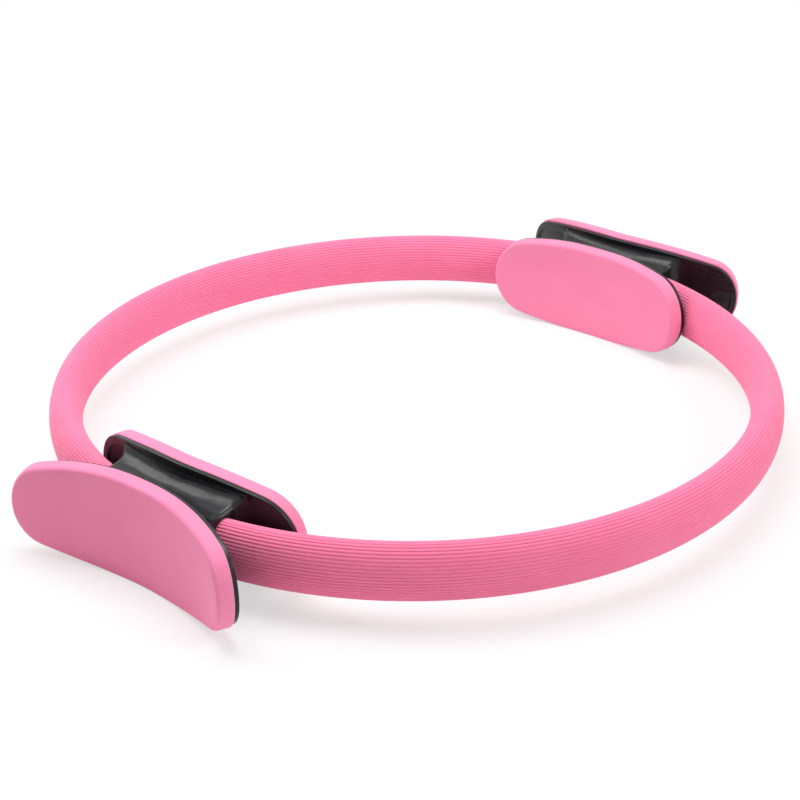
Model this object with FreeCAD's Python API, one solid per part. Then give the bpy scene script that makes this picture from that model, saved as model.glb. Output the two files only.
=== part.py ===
import FreeCAD, Part
import math
import os
from collections import namedtuple

from FreeCAD import Matrix, Vector

# Hoop
ring_radius = 170.0  # from the ring's axis to the tube's centre line
tube_height = 27.2
tube_thickness = 15.8
rib_count = 32  # lengthwise ribs round the foam
rib_depth = 0.35
sleeve_end = 22.0  # from a handle's middle to the end of the foam, along the tube

# Springy core: three strips laid one on another
leaf_height = 14.0
leaf_thickness = 2.0
leaf_film = 0.15  # resin between neighbouring strips
leaf_end_gap = 2.0  # between the two ends of one strip
core_clearance = 0.3  # round the stack of strips

# Ferrule that holds the strips' ends together inside a handle
ferrule_wall = 0.8
ferrule_length = 24.0
ferrule_clearance = 0.2

# Pads
pad_height = 49.6
pad_flat = 14.0  # straight stretch of the long edges
pad_rest = 0.2  # depth of the flat cut along the long edges, where the ring rests
pad_front_round = 1.8
pad_back_round = 0.6
inner_face_curve = 200.0
inner_pad_length = 118.5
inner_pad_thickness = 7.4
inner_pad_shoulder = 3.0  # drop from a long edge to the top of the end arc
inner_plate_inset = 0.4  # the plate's edge inside the pad's edge
outer_face_curve = 140.0
outer_pad_length = 133.0
outer_pad_thickness = 7.4
outer_pad_shoulder = 5.0
outer_plate_inset = 1.0
glue_line = 0.1  # between a pad and its plate

# Handle shells
plate_thickness = 1.1
plate_round = 0.5  # along the back of the plate's edge
rim_width = 2.0  # at least
rim_height = 0.9
rim_clearance = 0.9  # between the tube and the tips of the rim behind an inner pad
dish_round = 0.8  # at the foot of the rim
pocket_wall = 2.45  # between the ferrule's pocket and an outer pad's glue
clamp_length = 70.0  # of the tunnel that grips the tube
clamp_flare = 6.0  # reach of the hollow corners where the clamp's ends run out along the plates
clamp_wall = 2.2  # over the top of the tube
clamp_overlap = 0.4  # how far the rims reach down past the clamp's top
clamp_ledge = 1.0  # from a rim to the edge of the trough, along the clamp's flat top
tube_clearance = 0.3
trough_depth = 4.7
trough_lift = 0.6  # how far the trough's oval goes on above the clamp's top
mouth_round = 2.5
parting_inset = 1.5  # from the tube's centre line to the plane between the two shells

# Screws that draw the two shells together
screw_diameter = 3.0
screw_length = 14.0
screw_head_diameter = 5.5
screw_head_height = 1.9
screw_head_depth = 2.2  # from the plate's face to the seat of the head
screw_clearance = 0.15
screw_spread = 18.0  # between the two columns of screws
screw_rise = 11.5  # above and below the tube's centre line

stack_thickness = 3 * leaf_thickness + 2 * leaf_film
pocket_room = core_clearance + ferrule_wall + ferrule_clearance  # from the strips to the pocket's walls


def inner_face_radius():
    """From the ring's axis to the middle of the inner pad's face: the rim's tips just clear the tube."""
    rim_curve = inner_face_curve + inner_pad_thickness + glue_line + plate_thickness + rim_height
    half_flat = inner_face_curve * math.tan(inner_pad_length / 2 / inner_face_curve)
    tip_angle = math.atan((half_flat - inner_plate_inset) / inner_face_curve)
    tip_y = rim_curve * math.sin(tip_angle)
    flank_x = math.sqrt((ring_radius - tube_thickness / 2) ** 2 - tip_y**2)
    return flank_x - rim_clearance - rim_curve * math.cos(tip_angle) + inner_face_curve


def outer_face_radius():
    """From the ring's axis to the middle of the outer pad's face, which lies over the ferrule's pocket."""
    pocket_radius = ring_radius + stack_thickness / 2 + pocket_room
    return pocket_radius + pocket_wall + glue_line + outer_pad_thickness


# A pad's face curves round an upright axis on the user's side of it: beyond the pad (out = 1)
# or inside the ring (out = -1).
Side = namedtuple("Side", "out face_radius curve length thickness shoulder plate_inset")
inner_side = Side(
    -1,
    inner_face_radius(),
    inner_face_curve,
    inner_pad_length,
    inner_pad_thickness,
    inner_pad_shoulder,
    inner_plate_inset,
)
outer_side = Side(
    1,
    outer_face_radius(),
    outer_face_curve,
    outer_pad_length,
    outer_pad_thickness,
    outer_pad_shoulder,
    outer_plate_inset,
)
sides = (inner_side, outer_side)

ring_axis = Vector(0, 0, 1)
ring_centre = Vector(0, 0, 0)
half_height = pad_height / 2
rest_height = half_height - pad_rest  # from the tube's middle down to where the ring rests
reach = 2 * (outer_side.face_radius + outer_face_curve)  # larger than the whole ring
same_place = 0.01  # two points closer than this count as one
parting_x = ring_radius - parting_inset
clamp_top = tube_height / 2 + tube_clearance + clamp_wall + trough_depth  # above the tube's middle


def turn(length):
    """Angle in degrees of a length along the tube's centre line."""
    return math.degrees(length / ring_radius)


def swept(face, start, sweep):
    """Turn a section in the XZ plane about the ring's axis."""
    section = face.copy()
    section.rotate(ring_centre, ring_axis, start)
    return section.revolve(ring_centre, ring_axis, sweep)


def rectangle(thickness, height, radius=ring_radius):
    corners = [(-1, -1), (1, -1), (1, 1), (-1, 1), (-1, -1)]
    points = [Vector(radius + i * thickness / 2, 0, k * height / 2) for i, k in corners]
    return Part.makePolygon(points)


def oval(clearance):
    """The tube's section, larger by a clearance."""
    middle = Vector(ring_radius, 0, 0)
    tip = Vector(ring_radius, 0, tube_height / 2 + clearance)
    flank = Vector(ring_radius + tube_thickness / 2 + clearance, 0, 0)
    return Part.Wire(Part.Ellipse(tip, flank, middle).toShape())


def ribbed_oval():
    """Crests on the tube's oval, evenly spaced along it, with a valley between each two."""
    crest_line = oval(0).Edges[0]
    valley_line = oval(-rib_depth).Edges[0]

    def along(line, share):
        return line.valueAt(line.getParameterByLength(share * line.Length))

    points = []
    for i in range(rib_count):
        points.append(along(crest_line, i / rib_count))
        points.append(along(valley_line, (i + 0.5) / rib_count))
    return Part.makePolygon(points + points[:1])


def make_sleeve(start, end):
    """One ribbed foam tube, from one handle round to the other, with a bore for the core."""
    bore = rectangle(stack_thickness + 2 * core_clearance, leaf_height + 2 * core_clearance)
    section = Part.Face(ribbed_oval()).cut(Part.Face(bore)).Faces[0]
    return swept(section, start + turn(sleeve_end), end - start - 2 * turn(sleeve_end))


def make_leaf(layer, gap_angle):
    """One strip of the core, whose ends meet at gap_angle. Layer -1 is innermost, 1 outermost."""
    radius = ring_radius + layer * (leaf_thickness + leaf_film)
    section = Part.Face(rectangle(leaf_thickness, leaf_height, radius))
    gap = turn(leaf_end_gap)
    return swept(section, gap_angle + gap / 2, 360 - gap)


def make_ferrule():
    """A short metal box that the strips run through inside a handle."""
    inside = 2 * core_clearance
    outside = inside + 2 * ferrule_wall
    section = Part.Face(rectangle(stack_thickness + outside, leaf_height + outside))
    opening = Part.Face(rectangle(stack_thickness + inside, leaf_height + inside))
    return swept(section.cut(opening).Faces[0], -turn(ferrule_length) / 2, turn(ferrule_length))


def flat_length(side):
    """Length of a pad's outline where the rays from its curve's axis cross a flat plane at its face."""
    return 2 * side.curve * math.tan(side.length / 2 / side.curve)


def pad_outline(side, inset, x, stretch):
    """The oval outline of a pad, drawn in an upright plane at x and stretched along Y."""
    half = half_height - inset
    end_radius = half - side.shoulder
    end_centre = flat_length(side) / 2 - inset - end_radius
    across = end_centre - pad_flat / 2
    long_radius = (across**2 + half**2 - end_radius**2) / (2 * side.shoulder)
    lean = math.atan2(across, long_radius - half)

    def on_long_arc(angle):
        rise = half - long_radius + long_radius * math.cos(angle)
        return pad_flat / 2 + long_radius * math.sin(angle), rise

    join = on_long_arc(lean)
    bow = on_long_arc(lean / 2)
    flat = on_long_arc(0)
    tip = (end_centre + end_radius, 0)
    widen = Matrix()
    widen.scale(Vector(1, stretch, 1))

    def at(point, i, k):
        return Vector(x, i * point[0], k * point[1])

    def arc(first, middle, last):
        return Part.Arc(first, middle, last).toShape().transformGeometry(widen)

    def line(first, last):
        return Part.LineSegment(widen.multVec(first), widen.multVec(last)).toShape()

    edges = [
        line(at(flat, -1, 1), at(flat, 1, 1)),
        arc(at(flat, 1, 1), at(bow, 1, 1), at(join, 1, 1)),
        arc(at(join, 1, 1), at(tip, 1, 1), at(join, 1, -1)),
        arc(at(join, 1, -1), at(bow, 1, -1), at(flat, 1, -1)),
        line(at(flat, 1, -1), at(flat, -1, -1)),
        arc(at(flat, -1, -1), at(bow, -1, -1), at(join, -1, -1)),
        arc(at(join, -1, -1), at(tip, -1, 1), at(join, -1, 1)),
        arc(at(join, -1, 1), at(bow, -1, 1), at(flat, -1, 1)),
    ]
    return Part.Wire(edges)


def curve_axis(side):
    """X of the upright axis that a side's curved layers share."""
    return side.face_radius + side.out * side.curve


def layer_x(side, depth, y):
    """X of the surface that lies a depth behind the pad's face."""
    return curve_axis(side) - side.out * math.sqrt((side.curve + depth) ** 2 - y**2)


def outline_wedge(side, inset):
    """A pad's outline, drawn out along the rays from its curve's axis."""
    outlines = []
    for share in (0.5, 1.5):  # of the way from the axis to the face, in front of all layers and behind them
        x = curve_axis(side) - side.out * share * side.curve
        outlines.append(pad_outline(side, inset, x, share))
    return Part.makeLoft(outlines, True, True)


def curved_sheet(side, front, back, inset):
    """The layer between two depths behind a pad's face, with edges square to the face."""
    foot = Vector(curve_axis(side), 0, -pad_height)
    band = Part.makeCylinder(side.curve + back, 2 * pad_height, foot)
    band = band.cut(Part.makeCylinder(side.curve + front, 2 * pad_height, foot))
    if side.out < 0:
        band.rotate(foot, ring_axis, 180)  # keeps the cylinders' seam off the pad
    return band.common(outline_wedge(side, inset)).Solids[0]


def edges_at_depth(shape, side, depth):
    """The edges that run round a layer at one depth behind the pad's face."""
    axis_x = curve_axis(side)
    found = []
    for edge in shape.Edges:
        middle = edge.valueAt((edge.FirstParameter + edge.LastParameter) / 2)
        points = [vertex.Point for vertex in edge.Vertexes] + [middle]
        offs = [math.hypot(p.x - axis_x, p.y) - side.curve - depth for p in points]
        if max(abs(off) for off in offs) < same_place:
            found.append(edge)
    return found


def make_pad(side):
    """A foam pad with a generously rounded face edge and a slightly rounded back edge."""
    pad = curved_sheet(side, 0, side.thickness, 0)
    pad = pad.makeFillet(min(pad_front_round, side.thickness / 2), edges_at_depth(pad, side, 0))
    back_edges = edges_at_depth(pad, side, side.thickness)
    pad = pad.makeFillet(min(pad_back_round, side.thickness / 4), back_edges)
    corner = Vector(-reach / 2, -reach / 2, -rest_height)
    return pad.common(Part.makeBox(reach, reach, 2 * rest_height, corner)).Solids[0]


def plate_front(side):
    """Depth of the plate's face behind the pad's face."""
    return side.thickness + glue_line


def plate_back(side):
    return plate_front(side) + plate_thickness


def dish_inset(side):
    """The dish's edge inside the pad's edge: within the rim, and wholly below the clamp's top."""
    return max(side.plate_inset + rim_width, half_height - clamp_top + clamp_overlap)


def make_plate(side):
    """The thin curved plate behind a pad, rounded along its back edge and dished inside a raised rim."""
    rim_back = plate_back(side) + rim_height
    plate = curved_sheet(side, plate_front(side), rim_back, side.plate_inset)
    wall = plate_thickness + rim_height
    plate = plate.makeFillet(min(plate_round, wall / 2), edges_at_depth(plate, side, rim_back))
    dish = curved_sheet(side, plate_back(side), rim_back + rim_height, dish_inset(side))
    foot_edges = edges_at_depth(dish, side, plate_back(side))
    return plate.cut(dish.makeFillet(min(dish_round, rim_height), foot_edges))


def clamp_plan():
    """The clamp from above: it spans from plate to plate and flares out along them at both ends."""
    half = clamp_length / 2
    end = half + clamp_flare

    def root(side, y):
        return Vector(layer_x(side, plate_back(side) - plate_thickness / 2, y), y, 0)

    def flare(side, k):
        start = Vector(layer_x(side, plate_back(side), end), k * end, 0)
        corner = Vector(layer_x(side, plate_back(side), half), k * half, 0)
        last = corner - Vector(side.out * clamp_flare, 0, 0)
        middle = corner + (start + last - corner * 2) * (1 - math.sqrt(0.5))
        return start, middle, last

    edges = []
    for side in sides:
        edges.append(Part.Arc(root(side, -end), root(side, 0), root(side, end)).toShape())
        for k in (-1, 1):
            points = flare(side, k)
            edges.append(Part.Arc(*points).toShape())
            edges.append(Part.LineSegment(root(side, k * end), points[0]).toShape())
    for k in (-1, 1):
        edges.append(Part.LineSegment(flare(inner_side, k)[2], flare(outer_side, k)[2]).toShape())
    return Part.Wire(Part.__sortEdges__(edges))


def trough_section(y):
    """Section of the room over a trough: a half ellipse between the clamp's ledges, open above."""
    inner_x, outer_x = [layer_x(side, plate_back(side) + rim_height + clamp_ledge, y) for side in sides]
    half_width = (outer_x - inner_x) / 2
    lip = clamp_top + trough_lift
    shape = Matrix()
    shape.scale(Vector(1, 1, (trough_depth + trough_lift) / half_width))
    shape.move(Vector((inner_x + outer_x) / 2, y, lip))
    bowl = Part.Arc(Vector(-half_width, 0, 0), Vector(0, 0, -half_width), Vector(half_width, 0, 0))
    corners = [(outer_x, lip), (outer_x, pad_height), (inner_x, pad_height), (inner_x, lip)]
    walls = Part.makePolygon([Vector(x, y, z) for x, z in corners])
    return Part.Wire([bowl.toShape().transformGeometry(shape)] + walls.Edges)


def rounded_mouths(clamp):
    """Round the edges where the troughs end at the tunnel's two mouths."""
    edges = []
    for edge in clamp.Edges:
        kinds = [face.Surface.TypeId for face in clamp.ancestorsOfType(edge, Part.Face)]
        middle = edge.valueAt((edge.FirstParameter + edge.LastParameter) / 2)
        on_trough = kinds.count("Part::GeomBSplineSurface") == 1
        if on_trough and abs(middle.y) > clamp_length / 2 - same_place:
            edges.append(edge)
    return clamp.makeFillet(mouth_round, edges)


def make_clamp():
    """The waisted block between the two plates, with a trough above and below the tube."""
    block = Part.Face(clamp_plan()).extrude(Vector(0, 0, 2 * clamp_top))
    block.translate(Vector(0, 0, -clamp_top))
    past_end = clamp_length / 2 + 1.5 * clamp_flare
    upper = Part.makeLoft([trough_section(s * past_end) for s in (-1, -0.5, 0, 0.5, 1)], True, False)
    lower = upper.mirror(ring_centre, ring_axis)
    return rounded_mouths(block.cut(upper).cut(lower))


def tube_hollows():
    """The room that the foam, the core and its ferrule take up inside a handle."""
    tunnel = Part.Face(oval(tube_clearance))
    shoulder = turn(sleeve_end - tube_clearance)
    past_mouth = turn(clamp_length)
    hollows = [swept(tunnel, start, past_mouth - shoulder) for start in (shoulder, -past_mouth)]
    pocket = Part.Face(rectangle(stack_thickness + 2 * pocket_room, leaf_height + 2 * pocket_room))
    pocket_turn = turn(ferrule_length + 2 * ferrule_clearance)
    hollows.append(swept(pocket, -pocket_turn / 2, pocket_turn))
    passage = rectangle(stack_thickness + 2 * core_clearance, leaf_height + 2 * core_clearance)
    hollows.append(swept(Part.Face(passage), -past_mouth, 2 * past_mouth))
    return hollows


def screw_places():
    """Where each screw's axis crosses the YZ plane."""
    columns = (-screw_spread / 2, screw_spread / 2)
    return [(y, z) for y in columns for z in (-screw_rise, screw_rise)]


def screw_seat_x():
    return layer_x(outer_side, plate_front(outer_side), 0) - screw_head_depth


def screw_stack(clearance, head_top, tip):
    """Every screw, or the room that it needs: a head on a shank, pointing to the ring's middle."""
    seat = screw_seat_x()
    solids = []
    for y, z in screw_places():
        head = Part.makeCylinder(
            screw_head_diameter / 2 + clearance, head_top, Vector(seat, y, z), Vector(1, 0, 0)
        )
        shank = Part.makeCylinder(
            screw_diameter / 2 + clearance, tip, Vector(seat, y, z), Vector(-1, 0, 0)
        )
        solids.append(head.fuse(shank).removeSplitter())
    return Part.makeCompound(solids)


def make_shells():
    """The inner and outer shell: a plate and its half of the clamp, parted on an upright plane."""
    clamp = make_clamp()
    hollows = tube_hollows()
    hollows.append(screw_stack(screw_clearance, pad_height, screw_length + screw_clearance))
    shells = []
    for side in sides:
        corner_x = parting_x if side.out > 0 else parting_x - reach
        corner = Vector(corner_x, -reach / 2, -reach / 2)
        half = clamp.common(Part.makeBox(reach, reach, reach, corner))
        shell = make_plate(side).fuse(half).removeSplitter()
        for hollow in hollows:
            shell = shell.cut(hollow)
        shells.append(shell)
    return shells


def placed(shape, angle):
    """Turn a piece about the ring's axis and lift it so that the pads stand on the XY plane."""
    result = shape.copy()
    result.rotate(ring_centre, ring_axis, angle)
    result.translate(Vector(0, 0, rest_height))
    return result


def build():
    far_angle = 0
    near_angle = 180
    inner_shell, outer_shell = make_shells()
    handle = {
        "inner_pad": make_pad(inner_side),
        "outer_pad": make_pad(outer_side),
        "inner_shell": inner_shell,
        "outer_shell": outer_shell,
        "core_ferrule": make_ferrule(),
        "clamp_screws": screw_stack(0, screw_head_height, screw_length),
    }
    nodes = {}
    for end, angle in (("near", near_angle), ("far", far_angle)):
        for name, shape in handle.items():
            nodes[end + "_" + name] = placed(shape, angle)
    nodes["core_leaf_inner"] = placed(make_leaf(-1, near_angle), 0)
    nodes["core_leaf_middle"] = placed(make_leaf(0, far_angle), 0)
    nodes["core_leaf_outer"] = placed(make_leaf(1, near_angle), 0)
    nodes["foam_sleeve_back"] = placed(make_sleeve(far_angle, near_angle), 0)
    nodes["foam_sleeve_front"] = placed(make_sleeve(near_angle, far_angle + 360), 0)
    return nodes


os.makedirs("parts", exist_ok=True)
for node, shape in build().items():
    shape.exportStep("parts/" + node + ".step")
    state = "valid" if shape.isValid() else "not valid"
    print(node, len(shape.Solids), "solid,", round(shape.Volume), "mm3,", state)
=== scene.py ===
import math

import bmesh
import bpy
from mathutils import Matrix, Vector


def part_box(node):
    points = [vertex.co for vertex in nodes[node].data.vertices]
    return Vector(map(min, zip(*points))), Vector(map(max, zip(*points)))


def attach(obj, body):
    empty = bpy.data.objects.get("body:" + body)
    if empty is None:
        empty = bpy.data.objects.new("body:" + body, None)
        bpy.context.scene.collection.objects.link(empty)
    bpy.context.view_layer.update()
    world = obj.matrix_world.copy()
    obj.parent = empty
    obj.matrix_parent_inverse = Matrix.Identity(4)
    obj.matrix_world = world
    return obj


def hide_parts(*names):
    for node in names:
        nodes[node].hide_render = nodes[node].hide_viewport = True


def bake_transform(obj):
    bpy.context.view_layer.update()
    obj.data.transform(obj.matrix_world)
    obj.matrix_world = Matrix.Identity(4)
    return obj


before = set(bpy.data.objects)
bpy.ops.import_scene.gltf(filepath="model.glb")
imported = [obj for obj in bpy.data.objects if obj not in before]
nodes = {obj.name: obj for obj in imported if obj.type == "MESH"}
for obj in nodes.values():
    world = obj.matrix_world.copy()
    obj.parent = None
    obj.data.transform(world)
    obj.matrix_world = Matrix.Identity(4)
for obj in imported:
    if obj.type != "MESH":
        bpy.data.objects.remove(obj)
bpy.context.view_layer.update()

mm = 0.001
sameSpot = 0.001 * mm  # points closer than this are merged
white = (1.0, 1.0, 1.0, 1.0)


class Wire:
    # An output socket; arithmetic on it adds Math nodes, and make() adds any other node.
    def __init__(self, tree, socket=None):
        self.tree = tree
        self.socket = socket

    def make(self, kind, settings=None, sockets=None, out=0):
        added = self.tree.nodes.new(kind)
        for name, value in (settings or {}).items():
            setattr(added, name, value)
        for name, value in (sockets or {}).items():
            if isinstance(value, Wire):
                self.tree.links.new(value.socket, added.inputs[name])
            else:
                added.inputs[name].default_value = value
        return Wire(self.tree, added.outputs[out])

    def out(self, name):
        return Wire(self.tree, self.socket.node.outputs[name])

    def maths(self, operation, *values):
        return self.make("ShaderNodeMath", {"operation": operation}, dict(enumerate(values)))

    def __add__(self, other):
        return self.maths("ADD", self, other)

    def __sub__(self, other):
        return self.maths("SUBTRACT", self, other)

    def __rsub__(self, other):
        return self.maths("SUBTRACT", other, self)

    def __mul__(self, other):
        return self.maths("MULTIPLY", self, other)

    def __truediv__(self, other):
        return self.maths("DIVIDE", self, other)

    __radd__ = __add__
    __rmul__ = __mul__


def mixColour(share, first, second):
    # Inputs 6 and 7 and output 2 of a Mix node are its colours.
    sockets = {0: share, 6: first, 7: second}
    return share.make("ShaderNodeMix", {"data_type": "RGBA"}, sockets, out=2)


def linear(red, green, blue):
    # A colour as a screen gives it, 0 to 255, for a shader socket.
    def lift(c):
        c /= 255
        return c / 12.92 if c <= 0.04045 else ((c + 0.055) / 1.055) ** 2.4

    return (lift(red), lift(green), lift(blue), 1.0)


def newFinish(name, **fixed):
    finish = bpy.data.materials.new(name)
    finish.use_nodes = True
    tree = finish.node_tree
    shader = tree.nodes["Principled BSDF"]
    for socket, value in fixed.items():
        shader.inputs[socket.replace("_", " ")].default_value = value
    wire = Wire(tree)
    place = wire.make("ShaderNodeTexCoord", out="Object")
    return finish, shader, wire, place


def plug(shader, **links):
    for socket, wire in links.items():
        shader.id_data.links.new(wire.socket, shader.inputs[socket.replace("_", " ")])


def noise(wire, place, size, detail, rough=0.55, stretch=(1, 1, 1)):
    # Noise whose blobs are about one size across, in metres.
    scale = [s / size for s in stretch]
    spot = wire.make("ShaderNodeMapping", sockets={"Vector": place, "Scale": scale})
    return wire.make(
        "ShaderNodeTexNoise",
        sockets={"Vector": spot, "Scale": 1.0, "Detail": detail, "Roughness": rough},
    )


def spread(value):
    # Noise mostly lies between 0.3 and 0.7; stretch that to 0..1.
    return value.make(
        "ShaderNodeMapRange", {"clamp": True}, {"Value": value, "From Min": 0.3, "From Max": 0.7}
    )


def raised(height, depth, strength, **under):
    # A bump as deep as the height's whole range, over another one where that is given as Normal.
    return height.make(
        "ShaderNodeBump",
        sockets={"Strength": strength, "Distance": depth, "Height": height, **under},
    )


# Finishes
foamLook = {
    "sleeve": linear(254, 136, 174),
    "sleeveDeep": linear(250, 122, 161),
    "sleeveSheen": 0.12,
    "pad": linear(254, 147, 185),
    "padDeep": linear(249, 137, 176),
    "padSheen": 0.1,
    "sheenRoughness": 0.45,
    "refraction": 1.42,
    "specular": 0.25,
    "roughness": 0.55,
    "cloud": 22 * mm,  # broad, faint changes of tone
    "cloudTone": 0.35,
    "cloudRoughness": 0.06,
    "pore": 0.45 * mm,
    "poreTone": 0.3,
    "poreRoughness": 0.12,
    "poreDepth": 0.05 * mm,
    "poreBump": 0.35,
}


def foamFinish(piece):
    look = foamLook
    finish, shader, wire, place = newFinish(
        piece + "Pink",
        IOR=look["refraction"],
        Specular_IOR_Level=look["specular"],
        Sheen_Weight=look[piece + "Sheen"],
        Sheen_Roughness=look["sheenRoughness"],
    )
    cloud = spread(noise(wire, place, look["cloud"], detail=2.0))
    pores = noise(wire, place, look["pore"], detail=2.0, rough=0.6)
    specks = spread(pores)
    deepShare = cloud * look["cloudTone"] + specks * look["poreTone"]
    rougher = specks * look["poreRoughness"] + cloud * look["cloudRoughness"]
    plug(
        shader,
        Base_Color=mixColour(deepShare, look[piece], look[piece + "Deep"]),
        Roughness=look["roughness"] + rougher,
        Normal=raised(pores, look["poreDepth"], look["poreBump"]),
    )
    return finish


shellLook = {
    "black": linear(17, 17, 19),
    "worn": linear(30, 30, 33),
    "wornShare": 0.6,  # at most
    "refraction": 1.5,
    "specular": 0.35,
    "roughness": 0.2,
    "flow": 16 * mm,  # streaks along the handle
    "flowRoughness": 0.14,
    "ripple": 7 * mm,  # unevenness of the moulding, which breaks up reflections
    "rippleDepth": 0.8 * mm,
    "rippleBump": 0.8,
    "grain": 0.35 * mm,
    "grainDepth": 0.03 * mm,
    "grainBump": 0.25,
}


def shellFinish():
    look = shellLook
    finish, shader, wire, place = newFinish(
        "mouldedBlack", IOR=look["refraction"], Specular_IOR_Level=look["specular"]
    )
    grain = noise(wire, place, look["grain"], detail=1.0)
    flow = spread(noise(wire, place, look["flow"], detail=4.0, rough=0.6, stretch=(1, 0.3, 1)))
    ripple = noise(wire, place, look["ripple"], detail=1.0, stretch=(1, 0.5, 1))
    wavy = raised(ripple, look["rippleDepth"], look["rippleBump"])
    plug(
        shader,
        Base_Color=mixColour(flow * look["wornShare"], look["black"], look["worn"]),
        Roughness=look["roughness"] + flow * look["flowRoughness"],
        Normal=raised(grain, look["grainDepth"], look["grainBump"], Normal=wavy),
    )
    return finish


stripLook = {
    "resin": linear(196, 190, 150),
    "fibre": linear(226, 222, 190),
    "refraction": 1.53,
    "roughness": 0.35,
    "strand": 0.5 * mm,
    "strandRoughness": 0.1,
    "strandDepth": 0.05 * mm,
    "strandBump": 0.3,
}


def stripFinish():
    look = stripLook
    finish, shader, wire, place = newFinish("glassFibre", IOR=look["refraction"])
    strands = spread(noise(wire, place, look["strand"], detail=2.0, stretch=(0.05, 0.05, 1)))
    plug(
        shader,
        Base_Color=mixColour(strands, look["resin"], look["fibre"]),
        Roughness=look["roughness"] + strands * look["strandRoughness"],
        Normal=raised(strands, look["strandDepth"], look["strandBump"]),
    )
    return finish


steelLook = {
    "steel": linear(188, 190, 192),
    "dull": linear(160, 162, 165),
    "roughness": 0.28,
    "brush": 0.3 * mm,
    "brushRoughness": 0.14,
}


def steelFinish():
    look = steelLook
    finish, shader, wire, place = newFinish("zincedSteel", Metallic=1.0)
    brush = spread(noise(wire, place, look["brush"], detail=2.0, stretch=(1, 0.06, 1)))
    plug(
        shader,
        Base_Color=mixColour(brush, look["steel"], look["dull"]),
        Roughness=look["roughness"] + brush * look["brushRoughness"],
    )
    return finish


sleevePink = foamFinish("sleeve")
padPink = foamFinish("pad")
mouldedBlack = shellFinish()
glassFibre = stripFinish()
zincedSteel = steelFinish()
print("finishes made")


def smooth(mesh, crease):
    # Round shading, apart from edges sharper than the crease, in degrees.
    mesh.polygons.foreach_set("use_smooth", [True] * len(mesh.polygons))
    mesh.set_sharp_from_angle(angle=math.radians(crease))


def addPiece(name, mesh, finish, slot, *stoodFor):
    piece = bpy.data.objects.new(name, mesh)
    bpy.context.scene.collection.objects.link(piece)
    if not mesh.materials:
        mesh.materials.append(finish)
    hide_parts(*stoodFor)
    return piece


def mergedCopy(node):
    mesh = nodes[node].data.copy()
    work = bmesh.new()
    work.from_mesh(mesh)
    bmesh.ops.remove_doubles(work, verts=work.verts, dist=sameSpot)
    work.to_mesh(mesh)
    work.free()
    mesh.materials.clear()
    return mesh


# The hoop's main sizes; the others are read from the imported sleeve
hoop = {
    "thickness": 15.8 * mm,
    "sleeveEnd": 22.0 * mm,  # from a handle's middle to the end of the foam, along the tube
    "clampReach": 38 * mm,  # from a handle's middle to just past its mouth
}
sleeveLow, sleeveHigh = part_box("foam_sleeve_front")
hoop["height"] = sleeveHigh.z - sleeveLow.z
hoop["middle"] = (sleeveHigh.z + sleeveLow.z) / 2
hoop["radius"] = -sleeveLow.y - hoop["thickness"] / 2


def handleTurn(node):
    low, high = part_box(node)
    middle = (low + high) / 2
    return math.atan2(middle.y, middle.x)


farTurn = handleTurn("far_core_ferrule")
nearTurn = handleTurn("near_core_ferrule") % (2 * math.pi)

# Foam sleeves: one ribbed tube from handle to handle, with a bore for the strips
sleeveLook = {
    "Ribs": 44,
    "Rib Depth": 0.38 * mm,
    "Rib Steps": 7,  # points across one rib
    "Rings": 100,
    "Oval Steps": 256,  # of the curve that the tube's section is read from
    "Bore Thickness": 6.9 * mm,
    "Bore Height": 14.6 * mm,
}


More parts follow.
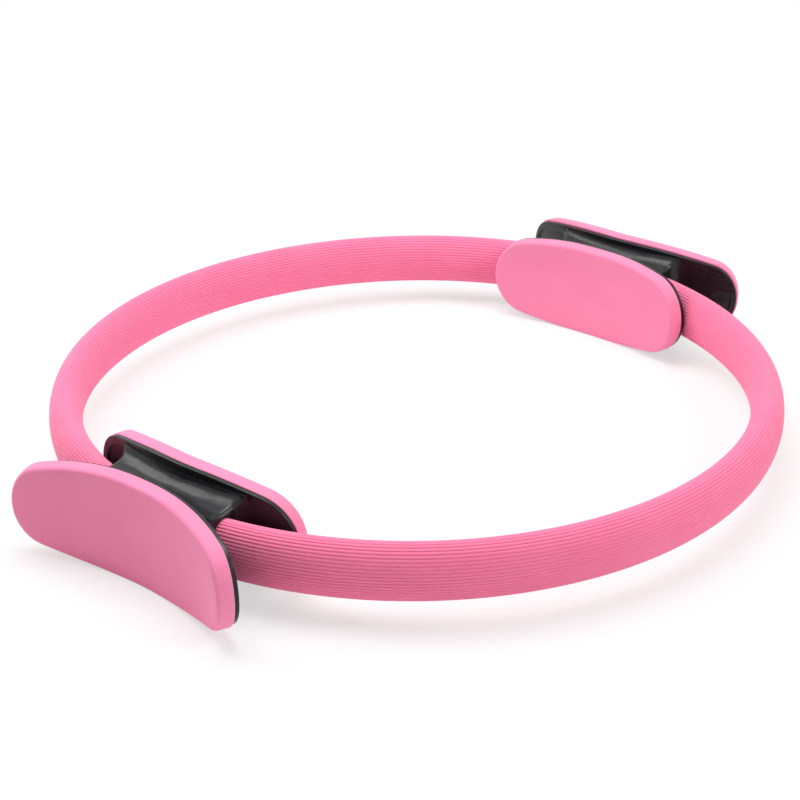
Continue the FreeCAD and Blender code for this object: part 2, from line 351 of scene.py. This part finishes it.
def sleeveTree():
    tree = bpy.data.node_groups.new("ribbedSleeve", "GeometryNodeTree")
    counts = ("Ribs", "Rib Steps", "Rings", "Oval Steps")
    for name in ("Radius", "Height", "Thickness", "Middle", "Start", "End", *sleeveLook):
        kind = "NodeSocketInt" if name in counts else "NodeSocketFloat"
        tree.interface.new_socket(name, in_out="INPUT", socket_type=kind)
    tree.interface.new_socket("Finish", in_out="INPUT", socket_type="NodeSocketMaterial")
    tree.interface.new_socket("Geometry", in_out="OUTPUT", socket_type="NodeSocketGeometry")
    wire = Wire(tree)
    given = wire.make("NodeGroupInput")

    def vector(x, y, z):
        return wire.make("ShaderNodeCombineXYZ", sockets={0: x, 1: y, 2: z})

    def parts(value):
        split = wire.make("ShaderNodeSeparateXYZ", sockets={0: value})
        return split.out("X"), split.out("Y"), split.out("Z")

    def sampled(curve, share):
        return wire.make(
            "GeometryNodeSampleCurve",
            {"mode": "FACTOR"},
            {"Curves": curve, "Factor": share},
            out="Position",
        )

    # A flat sheet: X goes round the section, and rows of Y run out along the outside,
    # back along the bore and close on the first row.
    rings = given.out("Rings")
    ribs = given.out("Ribs")
    grid = wire.make(
        "GeometryNodeMeshGrid",
        sockets={
            "Size X": 1.0,
            "Size Y": 1.0,
            "Vertices X": ribs * given.out("Rib Steps") + 1,
            "Vertices Y": rings * 2 + 1,
        },
    )
    around, along, _ = parts(wire.make("GeometryNodeInputPosition"))
    around = around + 0.5
    row = (along + 0.5) * rings * 2
    row = row.maths("ROUND", row)
    lastRow = row.maths("GREATER_THAN", row, rings * 2 - 0.5)
    onBore = row.maths("GREATER_THAN", row, rings - 0.5) * (1 - lastRow)
    outRow = row * (1 - onBore) * (1 - lastRow)
    backRow = (rings * 2 - 1 - row) * onBore
    turnShare = (outRow + backRow) / (rings - 1)
    turn = given.out("Start") + turnShare * (given.out("End") - given.out("Start"))

    # Outside: an oval with grooves between its ribs
    circle = wire.make(
        "GeometryNodeCurvePrimitiveCircle",
        sockets={"Resolution": given.out("Oval Steps"), "Radius": 1.0},
    )
    stretch = vector(given.out("Thickness") / 2, given.out("Height") / 2, 1.0)
    oval = wire.make("GeometryNodeTransform", sockets={"Geometry": circle, "Scale": stretch})
    onOval = sampled(oval, around)
    ovalX, ovalY, _ = parts(onOval)
    alongX, alongY, _ = parts(onOval.out("Tangent"))
    phase = around * ribs * math.pi
    valley = 1 - phase.maths("ABSOLUTE", phase.maths("SINE", phase))
    groove = given.out("Rib Depth") * valley * valley
    outsideX = ovalX - alongY * groove
    outsideY = ovalY + alongX * groove

    # Bore: a slot, read from the middle of its outer side, as the oval is
    boreThick, boreHigh = given.out("Bore Thickness"), given.out("Bore Height")
    slot = wire.make(
        "GeometryNodeCurvePrimitiveQuadrilateral", sockets={"Width": boreThick, "Height": boreHigh}
    )
    fromCorner = around + 1 - boreHigh / ((boreThick + boreHigh) * 4)
    slotX, slotY, _ = parts(sampled(slot, fromCorner.maths("FRACT", fromCorner)))

    radial = given.out("Radius") + outsideX * (1 - onBore) + slotX * onBore
    rise = given.out("Middle") + outsideY * (1 - onBore) + slotY * onBore
    spot = vector(radial * turn.maths("COSINE", turn), radial * turn.maths("SINE", turn), rise)
    bent = wire.make("GeometryNodeSetPosition", sockets={"Geometry": grid, "Position": spot})
    closed = wire.make(
        "GeometryNodeMergeByDistance", sockets={"Geometry": bent, "Distance": sameSpot}
    )
    real = wire.make("GeometryNodeRealizeInstances", sockets={"Geometry": closed})
    dressed = wire.make(
        "GeometryNodeSetMaterial", sockets={"Geometry": real, "Material": given.out("Finish")}
    )
    end = tree.nodes.new("NodeGroupOutput")
    tree.links.new(dressed.socket, end.inputs["Geometry"])
    return tree


def bakeTree(name, tree, values):
    blank = bpy.data.meshes.new("blank")
    holder = bpy.data.objects.new("holder", blank)
    bpy.context.scene.collection.objects.link(holder)
    modifier = holder.modifiers.new("build", "NODES")
    modifier.node_group = tree
    for item in tree.interface.items_tree:
        if item.in_out == "INPUT" and item.name in values:
            modifier[item.identifier] = values[item.name]
    evaluated = holder.evaluated_get(bpy.context.evaluated_depsgraph_get())
    mesh = bpy.data.meshes.new_from_object(evaluated)
    bpy.data.objects.remove(holder)
    bpy.data.meshes.remove(blank)
    mesh.name = name
    return mesh


def outwards(mesh):
    work = bmesh.new()
    work.from_mesh(mesh)
    bmesh.ops.recalc_face_normals(work, faces=work.faces)
    work.to_mesh(mesh)
    work.free()


def followSqueeze(piece):
    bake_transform(piece)


def makeSleeves():
    tree = sleeveTree()
    inset = hoop["sleeveEnd"] / hoop["radius"]
    for name, node, start, end in (
        ("ribbedSleeveBack", "foam_sleeve_back", farTurn, nearTurn),
        ("ribbedSleeveFront", "foam_sleeve_front", nearTurn, farTurn + 2 * math.pi),
    ):
        values = {
            "Radius": hoop["radius"],
            "Height": hoop["height"],
            "Thickness": hoop["thickness"],
            "Middle": hoop["middle"],
            "Start": start + inset,
            "End": end - inset,
            "Finish": sleevePink,
            **sleeveLook,
        }
        mesh = bakeTree(name, tree, values)
        outwards(mesh)
        smooth(mesh, crease=60.0)
        piece = addPiece(name, mesh, sleevePink, "sleeve_foam", node)
        followSqueeze(piece)
        print(piece.name, len(mesh.polygons), "faces")


makeSleeves()

# Pads: moulded foam sheets, curved to the palm, with a generous round on the face's edge
padLook = {
    "half": 24.8 * mm,
    "flat": 14.0 * mm,  # straight stretch of the long edges
    "rest": 0.2 * mm,  # flat cut along the long edges
    "frontRound": 1.8 * mm,
    "backRound": 0.6 * mm,
    "roundSteps": 7,
    "faceInsets": [inset * mm for inset in (4, 7, 10, 13, 16, 18.5)],  # rings across the face
    "pitch": 1.6 * mm,  # between points along the outline's arcs
    "quarterPoints": 64,  # of each ring, evenly spaced
    "inner": {
        "out": -1,
        "curve": 200.0 * mm,
        "length": 118.5 * mm,
        "thickness": 7.4 * mm,
        "shoulder": 3.0 * mm,  # drop from a long edge to the top of the end arc
    },
    "outer": {
        "out": 1,
        "curve": 140.0 * mm,
        "length": 133.0 * mm,
        "thickness": 7.4 * mm,
        "shoulder": 5.0 * mm,
    },
}

# Where the pads' faces lie, from the ring's middle, as packed
padLook["inner"]["face"] = -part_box("near_inner_pad")[0].x - padLook["inner"]["thickness"]
padLook["outer"]["face"] = -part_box("near_outer_pad")[1].x + padLook["outer"]["thickness"]


def quarterOutline(side, inset):
    # A quarter of the outline on a flat sheet, from the middle of the upper edge to the tip.
    flat = padLook["flat"] / 2
    half = padLook["half"] - inset
    endRadius = half - side["shoulder"]
    flatLength = side["curve"] * math.tan(side["length"] / 2 / side["curve"])
    endCentre = flatLength - inset - endRadius
    across = endCentre - flat
    longRadius = (across**2 + half**2 - endRadius**2) / (2 * side["shoulder"])
    lean = math.atan2(across, longRadius - half)
    runs = (flat, longRadius * lean, endRadius * (math.pi / 2 - lean))
    flatSteps, longSteps, endSteps = [max(4, round(run / padLook["pitch"])) for run in runs]
    points = [(flat * i / flatSteps, half) for i in range(flatSteps)]
    for i in range(longSteps):
        angle = lean * i / longSteps
        drop = longRadius * (1 - math.cos(angle))
        points.append((flat + longRadius * math.sin(angle), half - drop))
    for i in range(endSteps + 1):
        angle = lean + (math.pi / 2 - lean) * i / endSteps
        points.append((endCentre + endRadius * math.sin(angle), endRadius * math.cos(angle)))
    return points


def evenOut(points, count):
    # The same outline with a set number of points, evenly spaced, so that rings can be joined.
    lengths = [0.0]
    for a, b in zip(points, points[1:]):
        lengths.append(lengths[-1] + math.dist(a, b))
    result = []
    j = 0
    for i in range(count):
        goal = lengths[-1] * i / (count - 1)
        while j < len(points) - 2 and lengths[j + 1] < goal:
            j += 1
        share = (goal - lengths[j]) / (lengths[j + 1] - lengths[j])
        a, b = points[j], points[j + 1]
        result.append((a[0] + (b[0] - a[0]) * share, a[1] + (b[1] - a[1]) * share))
    return result


def wholeOutline(side, inset):
    quarter = evenOut(quarterOutline(side, inset), padLook["quarterPoints"])
    right = quarter + [(y, -z) for y, z in reversed(quarter[:-1])]
    return right + [(-y, z) for y, z in reversed(right[1:-1])]


def padStations(side):
    # (inset, depth) of each ring, from the middle of the face round the edge to the back's middle.
    front, back, deep = padLook["frontRound"], padLook["backRound"], side["thickness"]
    steps = padLook["roundSteps"]
    angles = [math.pi / 2 * i / steps for i in range(steps + 1)]
    stations = [(inset, 0.0) for inset in reversed(padLook["faceInsets"])]
    for angle in angles:
        stations.append((front * (1 - math.sin(angle)), front * (1 - math.cos(angle))))
    for angle in angles:
        stations.append((back * (1 - math.cos(angle)), deep - back * (1 - math.sin(angle))))
    return stations + [(inset, deep) for inset in padLook["faceInsets"]]


def padMesh(name, side, turn):
    axisX = side["face"] + side["out"] * side["curve"]
    upright = Matrix.Translation((0, 0, hoop["middle"])) @ Matrix.Rotation(turn, 4, "Z")
    rest = padLook["half"] - padLook["rest"]
    work = bmesh.new()
    rings = []
    for inset, depth in padStations(side):
        ring = []
        for y, z in wholeOutline(side, inset):
            angle = math.atan(y / side["curve"])
            away = side["curve"] + depth
            x = axisX - side["out"] * away * math.cos(angle)
            place = upright @ Vector((x, away * math.sin(angle), max(-rest, min(rest, z))))
            ring.append(work.verts.new(place))
        rings.append(ring)
    total = len(rings[0])
    for a, b in zip(rings, rings[1:]):
        for i in range(total):
            j = (i + 1) % total
            work.faces.new((a[i], a[j], b[j], b[i]))
    # Upper and lower points of a ring mirror each other, so strips across close the face.
    quarter = padLook["quarterPoints"] - 1
    for ring in (rings[0], rings[-1]):
        for i in range(-quarter, quarter):
            opposite = 2 * quarter - i
            strip = [ring[k % total] for k in (i, i + 1, opposite - 1, opposite)]
            corners = list(dict.fromkeys(strip))
            if len(corners) > 2:
                work.faces.new(corners)
    bmesh.ops.recalc_face_normals(work, faces=work.faces)
    mesh = bpy.data.meshes.new(name)
    work.to_mesh(mesh)
    work.free()
    smooth(mesh, crease=50.0)
    return mesh


def makePads():
    for end, turn in (("near", nearTurn), ("far", farTurn)):
        for side in ("inner", "outer"):
            mesh = padMesh(end + side.title() + "Pad", padLook[side], turn)
            piece = addPiece(mesh.name, mesh, padPink, "pad_foam", f"{end}_{side}_pad")
            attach(piece, end + "_handle")
            print(piece.name, len(mesh.polygons), "faces")


makePads()

# Strips of the core: merged copies of the imported ones
for layer in ("inner", "middle", "outer"):
    mesh = mergedCopy("core_leaf_" + layer)
    mesh.name = layer + "Strip"
    smooth(mesh, crease=40.0)
    strip = addPiece(mesh.name, mesh, glassFibre, "core_strip", "core_leaf_" + layer)
    followSqueeze(strip)

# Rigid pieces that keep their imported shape
for node, piece in nodes.items():
    if node.endswith("shell"):
        piece.data.materials.clear()
        piece.data.materials.append(mouldedBlack)
    elif node.endswith(("ferrule", "screws")):
        piece.data.materials.clear()
        piece.data.materials.append(zincedSteel)
print("strips and rigid pieces dressed")

# Camera, at the photograph's place
cameraLook = {
    "azimuth": -50.08,
    "elevation": 26.09,
    "distance": 872.0 * mm,  # from the ring's middle
    "lens": 79.7,
    "sensor": 36.0,
    "yaw": -0.517,  # turns away from the ring's middle, in degrees
    "pitch": -0.406,
    "roll": 0.564,
}


def makeCamera():
    a, e = math.radians(cameraLook["azimuth"]), math.radians(cameraLook["elevation"])
    back = Vector((math.sin(a) * math.cos(e), -math.cos(a) * math.cos(e), math.sin(e)))
    right = Vector((math.cos(a), math.sin(a), 0))
    up = back.cross(right)
    facing = Matrix((right, up, back)).transposed().to_4x4()
    lean = (
        Matrix.Rotation(-math.radians(cameraLook["yaw"]), 4, "Y")
        @ Matrix.Rotation(math.radians(cameraLook["pitch"]), 4, "X")
        @ Matrix.Rotation(-math.radians(cameraLook["roll"]), 4, "Z")
    )
    camera = bpy.data.objects.new("camera", bpy.data.cameras.new("camera"))
    camera.data.lens = cameraLook["lens"]
    camera.data.sensor_width = cameraLook["sensor"]
    place = Vector((0, 0, hoop["middle"])) + back * cameraLook["distance"]
    camera.matrix_world = Matrix.Translation(place) @ facing @ lean
    bpy.context.scene.collection.objects.link(camera)
    bpy.context.scene.camera = camera


makeCamera()

# Studio: soft lights from above and from both sides, an even white surround and a white floor
studio = {
    "floor": 8.0,
    "paper": (0.9, 0.9, 0.9, 1.0),
    "paperRoughness": 0.9,
    "paperSpecular": 0.1,
    "fill": 0.28,  # the surround's light on the ring
    "lamps": {
        "overhead": {"place": (0.0, 0.15, 1.1), "size": 0.8, "power": 8.5},
        "left": {"place": (-0.25, 0.65, 0.65), "size": 0.6, "power": 3.1},
        "right": {"place": (0.25, -0.85, 0.75), "size": 0.5, "power": 4.5},
    },
    "floorGlow": 0.6,  # share of the floor that shows as plain white, under the ring
    "glowFrom": 0.25,  # beyond this far from the ring's middle the share rises
    "glowTo": 0.5,  # and from here on it is the whole
}


def seenRays(wire):
    # 1 for rays that show the surround: straight to the camera, in a reflection or through glass.
    ray = wire.make("ShaderNodeLightPath")
    seen = ray.out("Is Camera Ray") + ray.out("Is Glossy Ray") + ray.out("Is Transmission Ray")
    return seen.maths("MINIMUM", seen, 1.0)


def makeSurround():
    world = bpy.data.worlds.new("surround")
    bpy.context.scene.world = world
    world.use_nodes = True
    background = world.node_tree.nodes["Background"]
    background.inputs["Color"].default_value = white
    level = studio["fill"] + seenRays(Wire(world.node_tree)) * (1 - studio["fill"])
    world.node_tree.links.new(level.socket, background.inputs["Strength"])


def makeFloor():
    bpy.ops.mesh.primitive_plane_add(size=studio["floor"])
    floor = bpy.context.object
    floor.name = "floor"
    paper, shader, wire, place = newFinish(
        "whitePaper",
        Base_Color=studio["paper"],
        Roughness=studio["paperRoughness"],
        Specular_IOR_Level=studio["paperSpecular"],
    )
    away = wire.make("ShaderNodeVectorMath", {"operation": "LENGTH"}, {0: place}, out="Value")
    share = wire.make(
        "ShaderNodeMapRange",
        {"clamp": True, "interpolation_type": "SMOOTHSTEP"},
        {
            "Value": away,
            "From Min": studio["glowFrom"],
            "From Max": studio["glowTo"],
            "To Min": studio["floorGlow"],
            "To Max": 1.0,
        },
    )
    lit = Wire(paper.node_tree, shader.outputs[0])
    glow = wire.make("ShaderNodeEmission", sockets={"Color": white, "Strength": 1.0})
    shine = wire.make("ShaderNodeMixShader", sockets={0: seenRays(wire) * share, 1: lit, 2: glow})
    surface = paper.node_tree.nodes["Material Output"].inputs["Surface"]
    paper.node_tree.links.new(shine.socket, surface)
    floor.data.materials.append(paper)


def makeLamps():
    for name, look in studio["lamps"].items():
        lamp = bpy.data.lights.new(name, "AREA")
        lamp.shape = "DISK"
        lamp.size = look["size"]
        lamp.energy = look["power"]
        holder = bpy.data.objects.new(name, lamp)
        holder.location = look["place"]
        holder.rotation_euler = Vector(look["place"]).to_track_quat("Z", "Y").to_euler()
        bpy.context.scene.collection.objects.link(holder)


bpy.context.scene.view_settings.view_transform = "Standard"
makeSurround()
makeFloor()
makeLamps()
print("camera and studio set")
